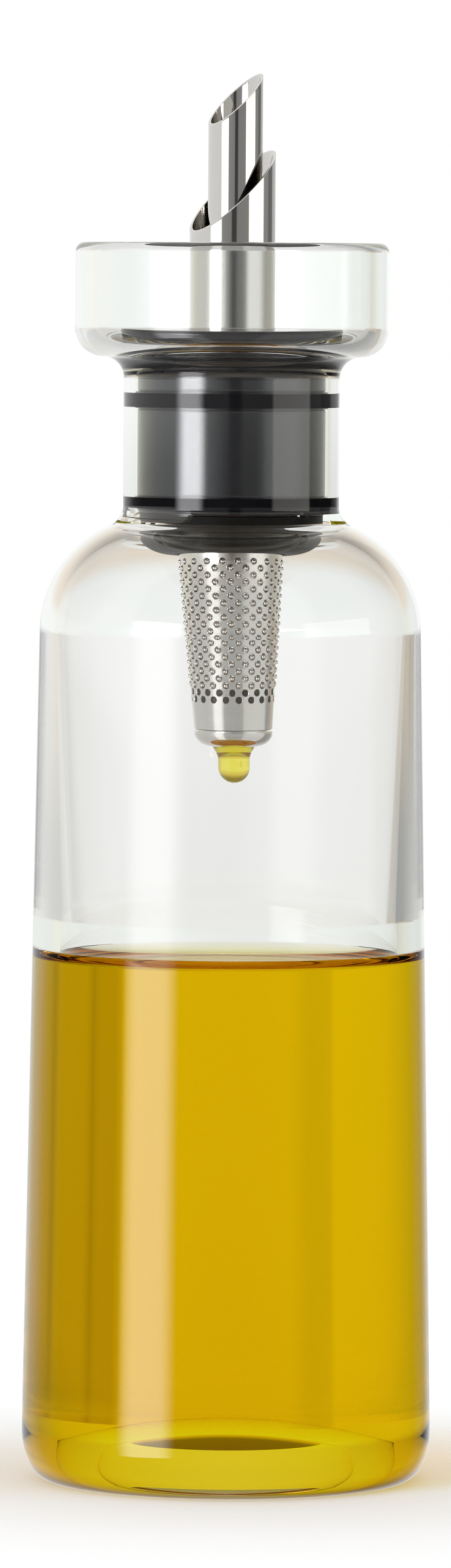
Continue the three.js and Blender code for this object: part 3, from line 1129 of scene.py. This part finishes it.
# Layers of the room from below upwards, and the slopes of sight between which each replaces the one before
MIRRORED_LAYERS = (
    (None, TABLE_REFLECTED),
    ((-0.022, -0.012), ROOM_REFLECTED),
)
SEEN_THROUGH_LAYERS = (
    (None, ROOM_BELOW_STRAINER),
    ((-0.15, -0.13), ROOM_THROUGH_OIL),
    ((-0.073, -0.066), ROOM_THROUGH_EMPTY_GLASS),
    ((0.05, 0.15), ROOM_OVERHEAD),
)
CEILING_START = 0.15  # from this slope on it gets darker
CEILING_END = 0.5
CEILING_LEVEL = 0.35
ROOM_LIGHT = 0.6  # on surfaces that neither mirror nor let through


def room_ramp(tree, angle, levels):
    """Colours by the angle round the bottle, from grey levels that may have a tint."""
    ramp = add(tree, "ShaderNodeValToRGB", {"Fac": angle})
    stops = ramp.color_ramp.elements
    stops.remove(stops[0])
    for number, (degrees, level, *tint) in enumerate(levels):
        place = degrees / 360 + 0.5
        stop = stops.new(place) if number else stops[0]
        stop.position = place
        stop.color = (*[level * c for c in tint[0]], 1) if tint else grey(level)
    return ramp.outputs["Color"]


def room(tree, angle, slope, layers):
    """Colours by the angle round the bottle and the slope of sight."""
    colour = None
    for limits, levels in layers:
        layer = room_ramp(tree, angle, levels)
        if limits is None:
            colour = layer
            continue
        share = add(
            tree,
            "ShaderNodeMapRange",
            {"Value": slope, "From Min": limits[0], "From Max": limits[1], "To Min": 0.0, "To Max": 1.0},
            interpolation_type="SMOOTHSTEP",
        )
        mixed = add(
            tree,
            "ShaderNodeMix",
            {"Factor": share.outputs["Result"], "A": colour, "B": layer},
            data_type="RGBA",
        )
        colour = mixed.outputs["Result"]
    return colour


def make_world():
    """White to the camera, with soft grey bands for metal and glass to show, and even light on the rest."""
    world = bpy.data.worlds.new("studio")
    bpy.context.scene.world = world
    world.use_nodes = True
    tree = world.node_tree
    tree.nodes.clear()
    direction = add(tree, "ShaderNodeTexCoord").outputs["Generated"]
    slope = add(tree, "ShaderNodeSeparateXYZ", {"Vector": direction}).outputs["Z"]
    ahead = add(tree, "ShaderNodeVectorMath", {0: direction, 1: toward_camera}, operation="DOT_PRODUCT")
    aside = add(tree, "ShaderNodeVectorMath", {0: direction, 1: camera_right}, operation="DOT_PRODUCT")
    turn = add(
        tree,
        "ShaderNodeMath",
        {0: aside.outputs["Value"], 1: ahead.outputs["Value"]},
        operation="ARCTAN2",
    )
    angle = add(
        tree,
        "ShaderNodeMapRange",
        {
            "Value": turn.outputs["Value"],
            "From Min": -math.pi,
            "From Max": math.pi,
            "To Min": 0.0,
            "To Max": 1.0,
        },
    ).outputs["Result"]
    ceiling = add(
        tree,
        "ShaderNodeMapRange",
        {
            "Value": slope,
            "From Min": CEILING_START,
            "From Max": CEILING_END,
            "To Min": 1.0,
            "To Max": CEILING_LEVEL,
        },
        interpolation_type="SMOOTHSTEP",
    )
    under_ceiling = add(
        tree,
        "ShaderNodeVectorMath",
        {0: room(tree, angle, slope, SEEN_THROUGH_LAYERS), "Scale": ceiling.outputs["Result"]},
        operation="SCALE",
    )
    path = add(tree, "ShaderNodeLightPath")
    colour = grey(ROOM_LIGHT)
    for ray, seen in (
        ("Is Glossy Ray", room(tree, angle, slope, MIRRORED_LAYERS)),
        ("Is Transmission Ray", under_ceiling.outputs["Vector"]),
        ("Is Camera Ray", grey(1)),
    ):
        mixed = add(
            tree,
            "ShaderNodeMix",
            {"Factor": path.outputs[ray], "A": colour, "B": seen},
            data_type="RGBA",
        )
        colour = mixed.outputs["Result"]
    background = add(tree, "ShaderNodeBackground", {"Color": colour, "Strength": 1.0})
    add(tree, "ShaderNodeOutputWorld", {"Surface": background.outputs["Background"]})


def floor_material():
    """White paper: takes the bottle's shadow, and fades into the white of the room further off."""
    material = new_material("white_paper")
    tree = material.node_tree
    place = add(tree, "ShaderNodeTexCoord").outputs["Object"]
    distance = add(tree, "ShaderNodeVectorMath", {0: place}, operation="LENGTH")
    fibres = add(
        tree,
        "ShaderNodeTexNoise",
        {"Vector": place, "Scale": scale_for(PAPER_FIBRE), "Detail": 2.0},
    )
    paper = add(
        tree,
        "ShaderNodeMix",
        {"Factor": fibres.outputs["Fac"], "A": linear("#f6f6f6"), "B": linear("#fafafa")},
        data_type="RGBA",
    )
    matt = add(tree, "ShaderNodeBsdfDiffuse", {"Color": paper.outputs["Result"]})
    clear = add(tree, "ShaderNodeBsdfTransparent", {"Color": grey(1)})
    far = add(
        tree,
        "ShaderNodeMapRange",
        {
            "Value": distance.outputs["Value"],
            "From Min": FLOOR_FADE_START * MM,
            "From Max": FLOOR_FADE_END * MM,
            "To Min": 0.0,
            "To Max": 1.0,
        },
        interpolation_type="SMOOTHSTEP",
    )
    mixed = add(
        tree,
        "ShaderNodeMixShader",
        {0: far.outputs["Result"], 1: matt.outputs["BSDF"], 2: clear.outputs["BSDF"]},
    )
    set_surface(tree, mixed.outputs["Shader"])
    return material


def make_floor():
    quarters = ((-1, -1), (1, -1), (1, 1), (-1, 1))
    corners = [(x * FLOOR_REACH, y * FLOOR_REACH, -FLOOR_DROP) for x, y in quarters]
    floor = mesh_object("floor", corners, [(0, 1, 2, 3)])
    floor.data.materials.append(floor_material())
    floor.visible_glossy = False


# Soft boxes: the angle from the camera's side, half the angle that they fill, and the share of their width
# over which each side fades
LEFT_BOX = {"degrees": -45, "half_angle": 18, "soft": 0.3}
RIGHT_BOX = {"degrees": 67.5, "half_angle": 25.5, "soft": 0.1}
RIGHT_HIGH_BOX = {**RIGHT_BOX, "soft": 0.3}
BOX_DISTANCE = 500
# Heights at which one box ends and the next begins, because each lights another part of the bottle
LOWEST_BOX = -120
OIL_BOX_TOP = 78
BODY_BOX_TOP = 162
TUBE_BOX_TOP = 265
HIGHEST_BOX = 700
COOL_LAMP = "#fafaff"
WARM_LAMP = "#fffaf2"
PLAIN_LAMP = "#fcfaf8"
LEFT_RADIANCE = 6.0
RIGHT_RADIANCE = 1.6


def make_lamp(name, degrees, half_angle, soft, bottom, top, radiance, colour, through=False, mirrored=True):
    """A tall soft box that faces the bottle, and whether it shows through glass and in mirrors."""
    turn = math.radians(degrees)
    side = toward_camera * math.cos(turn) + camera_right * math.sin(turn)
    width = 2 * BOX_DISTANCE * math.tan(math.radians(half_angle)) * MM
    height = (top - bottom) * MM
    lamp = bpy.data.lights.new(name, "AREA")
    lamp.shape = "RECTANGLE"
    lamp.size = width
    lamp.size_y = height
    lamp.energy = radiance * math.pi * width * height
    lamp.color = linear(colour)[:3]
    lamp.use_nodes = True
    tree = lamp.node_tree
    tree.nodes.clear()
    place = add(tree, "ShaderNodeNewGeometry").outputs["Parametric"]
    across = add(tree, "ShaderNodeSeparateXYZ", {"Vector": place}).outputs["X"]
    fade = add(tree, "ShaderNodeValToRGB", {"Fac": across})
    fade.color_ramp.interpolation = "EASE"
    stops = fade.color_ramp.elements
    stops[0].color = stops[1].color = grey(0)
    for side_of in (soft, 1 - soft):
        stops.new(side_of).color = grey(1)
    glow = add(tree, "ShaderNodeEmission", {"Color": fade.outputs["Color"], "Strength": 1.0})
    add(tree, "ShaderNodeOutputLight", {"Surface": glow.outputs["Emission"]})
    made = bpy.data.objects.new(name, lamp)
    made.location = side * BOX_DISTANCE * MM + Vector((0, 0, (bottom + top) / 2 * MM))
    made.rotation_euler = side.to_track_quat("Z", "Y").to_euler()
    made.visible_camera = False
    made.visible_transmission = through
    made.visible_glossy = mirrored
    bpy.context.scene.collection.objects.link(made)


def make_camera():
    """At the photograph's height, distance and slight tilt."""
    camera = bpy.data.cameras.new("camera")
    camera.lens = CAMERA_LENS
    camera.sensor_width = CAMERA_SENSOR
    made = bpy.data.objects.new("camera", camera)
    bpy.context.scene.collection.objects.link(made)
    spot = toward_camera * CAMERA_DISTANCE + camera_right * CAMERA_SIDESTEP
    made.location = (spot + Vector((0, 0, CAMERA_HEIGHT))) * MM
    pitch = math.radians(90 - CAMERA_PITCH)
    turn = Matrix.Rotation(math.radians(CAMERA_AZIMUTH), 3, "Z") @ Matrix.Rotation(pitch, 3, "X")
    made.rotation_euler = (turn @ Matrix.Rotation(math.radians(CAMERA_ROLL), 3, "Z")).to_euler()
    bpy.context.scene.camera = made


def make_studio():
    make_world()
    make_floor()
    tubes = {"bottom": BODY_BOX_TOP, "top": TUBE_BOX_TOP}
    body = {"bottom": OIL_BOX_TOP, "top": BODY_BOX_TOP}
    oil = {"bottom": LOWEST_BOX, "top": OIL_BOX_TOP}
    high = {"bottom": TUBE_BOX_TOP, "top": HIGHEST_BOX, "colour": PLAIN_LAMP, "mirrored": False}
    make_lamp("left_soft_box", **LEFT_BOX, **tubes, radiance=LEFT_RADIANCE, colour=COOL_LAMP, through=True)
    make_lamp("left_middle_soft_box", **LEFT_BOX, **body, radiance=2.0, colour=COOL_LAMP)
    make_lamp("left_low_soft_box", **LEFT_BOX, **oil, radiance=4.6, colour=COOL_LAMP)
    make_lamp("right_soft_box", **RIGHT_BOX, **tubes, radiance=RIGHT_RADIANCE, colour=WARM_LAMP)
    make_lamp("left_high_soft_box", **LEFT_BOX, **high, radiance=LEFT_RADIANCE)
    make_lamp("right_high_soft_box", **RIGHT_HIGH_BOX, **high, radiance=RIGHT_RADIANCE)
    scene = bpy.context.scene
    scene.view_settings.view_transform = "Standard"
    scene.cycles.max_bounces = LIGHT_BOUNCES
    scene.cycles.glossy_bounces = LIGHT_BOUNCES
    scene.cycles.transmission_bounces = LIGHT_BOUNCES
    scene.cycles.transparent_max_bounces = LIGHT_BOUNCES


make_camera()
make_bottle()
make_oil()
make_stopper()
make_seals()
make_socket()
make_tubes()
make_strainer()
make_drop()
make_studio()
